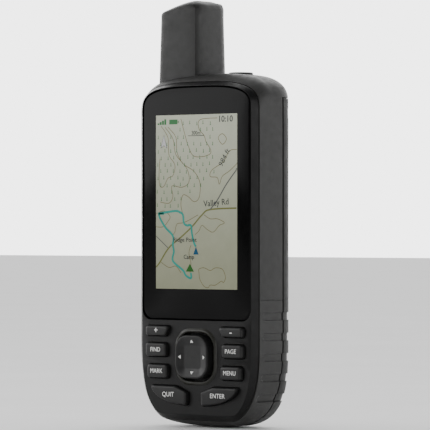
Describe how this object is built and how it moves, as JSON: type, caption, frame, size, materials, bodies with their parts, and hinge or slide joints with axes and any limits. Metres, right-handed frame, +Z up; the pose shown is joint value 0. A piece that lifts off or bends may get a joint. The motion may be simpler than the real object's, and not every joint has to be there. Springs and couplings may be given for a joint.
{
  "type": "handheld satellite navigator",
  "caption": "Upright handheld navigator: tall display over a keypad and rocker, stub antenna on top, and a latched battery door with a mounting spine behind.",
  "frame": {"origin": "on the ground under the middle of the device as it stands on its foot", "axes": "+Z up to the antenna, the display faces -Y, +X to the right of a user who faces the display"},
  "size_m": [0.062, 0.035, 0.1628],
  "materials": {
    "frame_plastic": "fine satin moulding",
    "body_plastic": "fine grained moulding",
    "antenna_plastic": "fine grained moulding",
    "lens_glass": "polished, black printed border",
    "black_foam": "matte",
    "display": "colour display showing a map",
    "diffuser": "white",
    "steel": "stamped",
    "flex": "polyimide",
    "silicone": "matte silicone",
    "ring_plastic": "satin",
    "key_rubber": "satin with white legends",
    "board": "solder mask",
    "black_plastic": "satin",
    "ceramic": "matte",
    "copper": "etched foil",
    "cap_rubber": "matte",
    "brass": "plated",
    "torch_glass": "clear",
    "led": "phosphor",
    "cell": "printed sleeve",
    "seal_rubber": "matte silicone",
    "ring_metal": "black anodised"
  },
  "bodies": {
    "device": {"front_housing": "frame_plastic", "display_lens": "lens_glass", "lens_gasket": "black_foam", "lcd_panel": "display", "backlight_plate": "diffuser", "display_bracket": "steel", "display_flex": "flex", "keypad_mat": "silicone", "dome_switches": "steel", "rocker_ring": "ring_plastic", "main_board": "board", "processor_shield": "steel", "receiver_shield": "steel", "pressure_sensor": "steel", "beeper": "black_plastic", "memory_card_socket": "steel", "memory_card": "black_plastic", "housing_seal": "black_foam", "main_housing": "body_plastic", "housing_screws": "steel", "power_switch": "black_plastic", "antenna_cover": "antenna_plastic", "antenna_core": "ceramic", "antenna_helix": "copper", "antenna_lead": "black_plastic", "usb_socket": "steel", "antenna_jack": "brass", "torch_lens": "torch_glass", "torch_led": "led", "battery_left": "cell", "battery_right": "cell", "contact_plates": "steel", "contact_springs": "steel", "door_seal": "seal_rubber"},
    "plus_key": {"key_plus": "key_rubber"},
    "find_key": {"key_find": "key_rubber"},
    "mark_key": {"key_mark": "key_rubber"},
    "quit_key": {"key_quit": "key_rubber"},
    "minus_key": {"key_minus": "key_rubber"},
    "page_key": {"key_page": "key_rubber"},
    "menu_key": {"key_menu": "key_rubber"},
    "enter_key": {"key_enter": "key_rubber"},
    "rocker_base": {"rocker_core": "silicone"},
    "rocker": {"rocker_pad": "key_rubber"},
    "power_key": {"power_button": "key_rubber"},
    "usb_flap": {"usb_cap": "cap_rubber"},
    "jack_flap": {"antenna_jack_cap": "cap_rubber"},
    "door": {"battery_door": "body_plastic"},
    "latch": {"latch": "black_plastic", "latch_cam": "steel", "latch_screw": "steel"},
    "ring": {"d_ring": "ring_metal"}
  },
  "joints": [
    {"name": "plus_press", "type": "slide", "parent": "device", "child": "plus_key", "axis": [0, 1, 0], "range_m": [0, 0.0006], "stiffness_N_per_m": 2500},
    {"name": "find_press", "type": "slide", "parent": "device", "child": "find_key", "axis": [0, 1, 0], "range_m": [0, 0.0006], "stiffness_N_per_m": 2500},
    {"name": "mark_press", "type": "slide", "parent": "device", "child": "mark_key", "axis": [0, 1, 0], "range_m": [0, 0.0006], "stiffness_N_per_m": 2500},
    {"name": "quit_press", "type": "slide", "parent": "device", "child": "quit_key", "axis": [0, 1, 0], "range_m": [0, 0.0006], "stiffness_N_per_m": 2500},
    {"name": "minus_press", "type": "slide", "parent": "device", "child": "minus_key", "axis": [0, 1, 0], "range_m": [0, 0.0006], "stiffness_N_per_m": 2500},
    {"name": "page_press", "type": "slide", "parent": "device", "child": "page_key", "axis": [0, 1, 0], "range_m": [0, 0.0006], "stiffness_N_per_m": 2500},
    {"name": "menu_press", "type": "slide", "parent": "device", "child": "menu_key", "axis": [0, 1, 0], "range_m": [0, 0.0006], "stiffness_N_per_m": 2500},
    {"name": "enter_press", "type": "slide", "parent": "device", "child": "enter_key", "axis": [0, 1, 0], "range_m": [0, 0.0006], "stiffness_N_per_m": 2500},
    {"name": "rocker_left_right", "type": "hinge", "parent": "device", "child": "rocker_base", "pos_m": [0, -0.012, 0.0269], "axis": [0, 0, 1], "range_deg": [-4, 4], "stiffness_Nm_per_rad": 0.25},
    {"name": "rocker_up_down", "type": "hinge", "parent": "rocker_base", "child": "rocker", "pos_m": [0, -0.012, 0.0269], "axis": [1, 0, 0], "range_deg": [-4, 4], "stiffness_Nm_per_rad": 0.25},
    {"name": "power_press", "type": "slide", "parent": "device", "child": "power_key", "axis": [0, 0, -1], "range_m": [0, 0.0006], "stiffness_N_per_m": 2500},
    {"name": "usb_flap_open", "type": "hinge", "parent": "device", "child": "usb_flap", "pos_m": [0.0022, 0.01245, 0.12855], "axis": [0, 0, 1], "range_deg": [0, 100]},
    {"name": "jack_flap_open", "type": "hinge", "parent": "device", "child": "jack_flap", "pos_m": [0.021, 0.0101, 0.12855], "axis": [0, 0, -1], "range_deg": [0, 100]},
    {"name": "door_open", "type": "hinge", "parent": "device", "child": "door", "pos_m": [0, 0.0124, 0.1245], "axis": [1, 0, 0], "range_deg": [0, 60]},
    {"name": "latch_turn", "type": "hinge", "parent": "door", "child": "latch", "pos_m": [0, 0.0095, 0.018], "axis": [0, 1, 0], "range_deg": [0, 90]},
    {"name": "ring_fold", "type": "hinge", "parent": "latch", "child": "ring", "pos_m": [0, 0.0115, 0.022], "axis": [1, 0, 0], "range_deg": [0, 90]}
  ]
}
